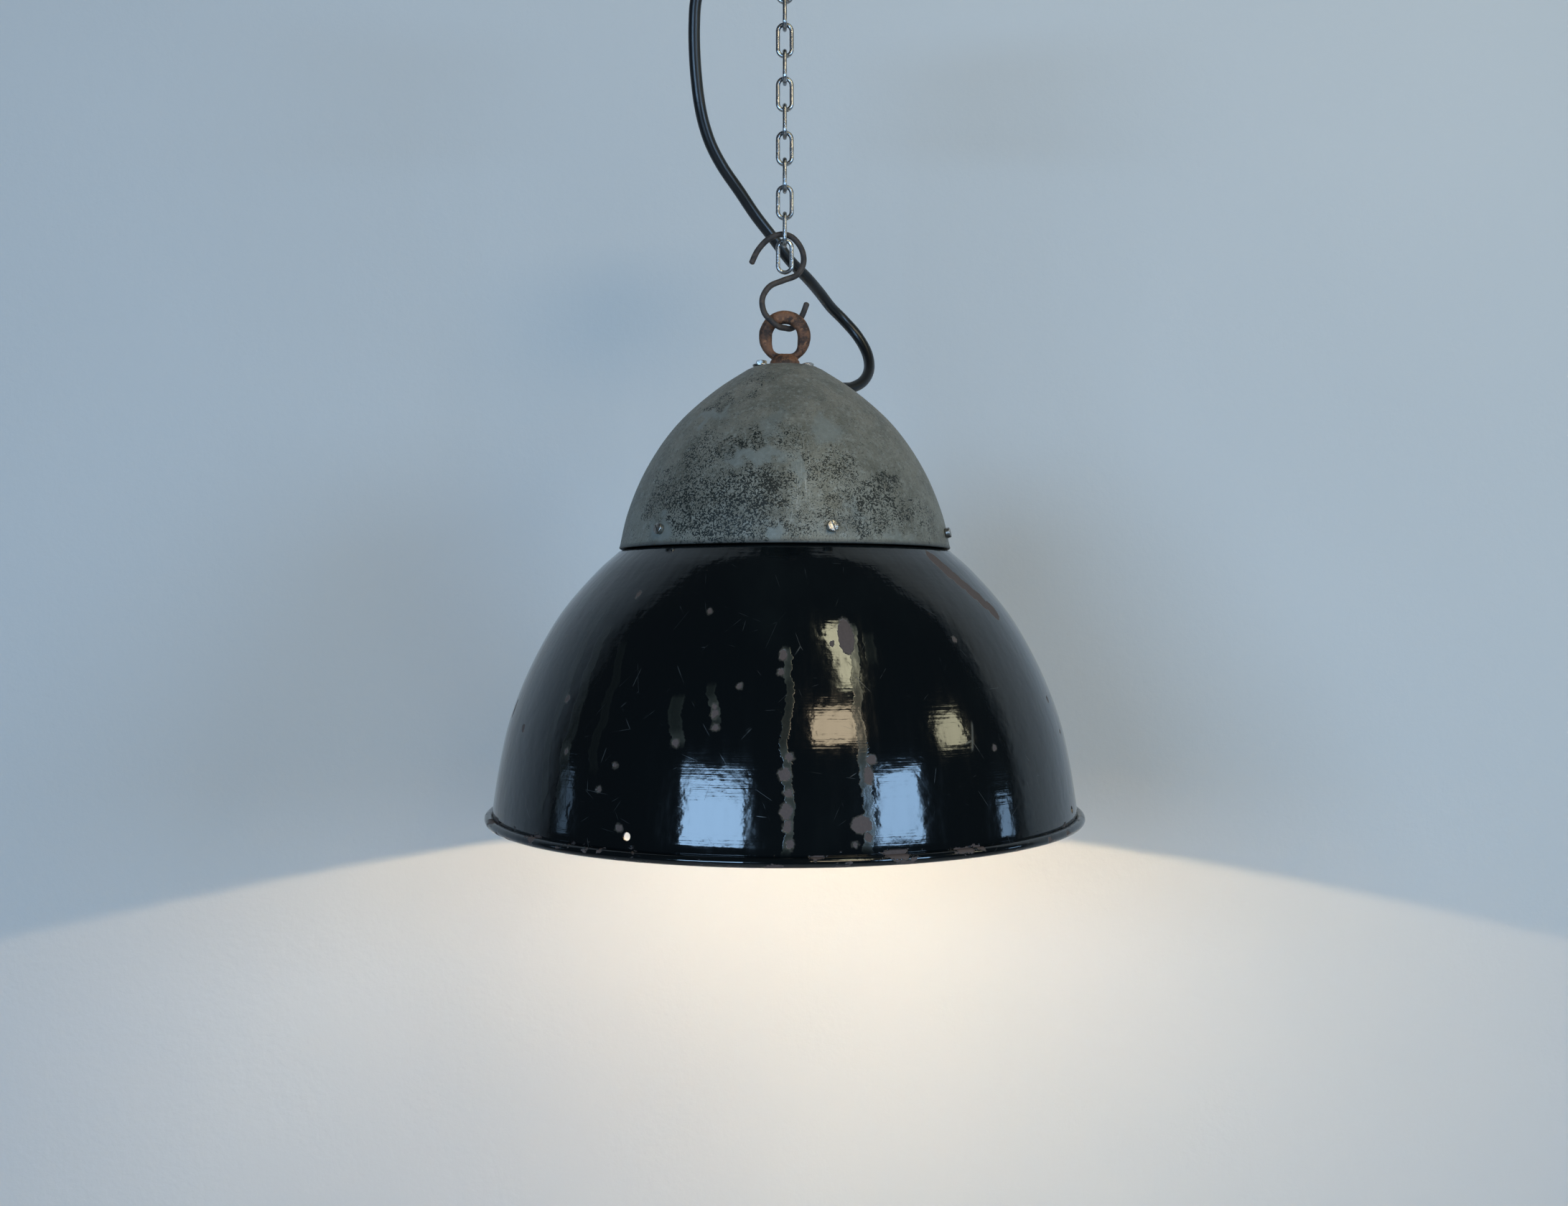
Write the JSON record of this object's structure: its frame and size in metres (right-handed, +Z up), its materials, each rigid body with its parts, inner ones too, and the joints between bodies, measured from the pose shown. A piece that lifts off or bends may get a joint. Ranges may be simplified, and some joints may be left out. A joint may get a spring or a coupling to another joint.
{
  "type": "factory pendant lamp",
  "caption": "Pendant lamp with a black enamelled steel shade and a bullet-shaped cast aluminium cap, hung on a chain, hook and eye from a ceiling rose, with its supply cable.",
  "frame": {"origin": "middle of the ceiling rose's back, on the face that lies against the ceiling", "axes": "+Z up, along the lamp's axis; the lamp hangs down along -Z; -Y is the front and +X is to the right"},
  "size_m": [0.4108, 0.4108, 0.6551],
  "materials": {
    "rose_enamel": "satin black enamel",
    "zinc_steel": "bright zinc plate",
    "screw_steel": "bare steel, a little worn",
    "dark_iron": "dark brown oxide",
    "rusty_iron": "rust over old plating",
    "cast_aluminium": "aged raw casting with dark specks",
    "black_enamel": "gloss vitreous enamel, white inside",
    "black_rubber": "matte black",
    "porcelain": "glazed porcelain",
    "brass": "plain brass",
    "bakelite": "moulded resin",
    "brown_insulation": "insulated wire",
    "blue_insulation": "insulated wire",
    "bulb_glass": "clear glass, warm when lit"
  },
  "bodies": {
    "ceiling_rose": {"rose_backplate": "zinc_steel", "rose_cover": "rose_enamel", "ceiling_ring_hook": "zinc_steel", "rose_lock_nut": "zinc_steel", "rose_cable_bush": "black_rubber", "rose_terminal_block": "bakelite", "supply_cable_top": "black_rubber"},
    "chain_top_link": {"chain_link_01": "zinc_steel"},
    "chain": {"chain_link_02": "zinc_steel", "chain_link_03": "zinc_steel", "chain_link_04": "zinc_steel", "chain_link_05": "zinc_steel", "chain_link_06": "zinc_steel", "chain_link_07": "zinc_steel", "chain_link_08": "zinc_steel", "chain_link_09": "zinc_steel", "chain_link_10": "zinc_steel", "chain_link_11": "zinc_steel", "supply_cable_upper": "black_rubber", "supply_cable_middle": "black_rubber"},
    "s_hook": {"s_hook": "dark_iron"},
    "chain_end_link": {"chain_end_link": "zinc_steel"},
    "lamp": {"suspension_eye": "rusty_iron", "eye_washer": "zinc_steel", "eye_nut": "zinc_steel", "top_washer_front": "screw_steel", "top_hex_screw_front": "screw_steel", "top_screw_nut_front": "zinc_steel", "top_washer_rear": "screw_steel", "top_hex_screw_rear": "screw_steel", "top_screw_nut_rear": "zinc_steel", "cast_cap": "cast_aluminium", "enamel_shade": "black_enamel", "side_screw_1": "screw_steel", "side_screw_2": "screw_steel", "side_screw_3": "screw_steel", "side_screw_4": "screw_steel", "side_screw_5": "screw_steel", "side_screw_6": "screw_steel", "cable_sleeve": "black_rubber", "holder_bracket": "zinc_steel", "holder_bolt": "zinc_steel", "lampholder_body": "porcelain", "lampholder_screw_shell": "brass", "lampholder_centre_contact": "brass", "live_lead": "brown_insulation", "neutral_lead": "blue_insulation", "supply_cable_lower": "black_rubber"},
    "bulb": {"bulb_contact": "brass", "bulb_cap": "zinc_steel", "bulb_glass": "bulb_glass"}
  },
  "joints": [
    {"name": "chain_swing_fore_aft", "type": "hinge", "parent": "ceiling_rose", "child": "chain_top_link", "pos_m": [0, 0, -0.0498], "axis": [1, 0, 0], "range_deg": [-15, 15], "deforming": ["supply_cable_top"]},
    {"name": "chain_swing_side", "type": "hinge", "parent": "chain_top_link", "child": "chain", "pos_m": [0, 0, -0.0685], "axis": [0, 1, 0], "range_deg": [-15, 15], "deforming": ["supply_cable_upper"]},
    {"name": "hook_swing_side", "type": "hinge", "parent": "chain", "child": "s_hook", "pos_m": [0, 0, -0.2575], "axis": [0, 1, 0], "range_deg": [-15, 15], "deforming": ["supply_cable_middle"]},
    {"name": "end_link_swing", "type": "hinge", "parent": "s_hook", "child": "chain_end_link", "pos_m": [0, 0, -0.2575], "axis": [0, 1, 0], "range_deg": [-12, 12]},
    {"name": "lamp_rock_on_hook", "type": "hinge", "parent": "s_hook", "child": "lamp", "pos_m": [0, 0, -0.315], "axis": [0.7071, 0.7071, 0], "range_deg": [-10, 10], "deforming": ["supply_cable_lower"]},
    {"name": "bulb_turn", "type": "hinge", "parent": "lamp", "child": "bulb", "pos_m": [0, 0, -0.503], "axis": [0, 0, 1], "continuous": true}
  ]
}
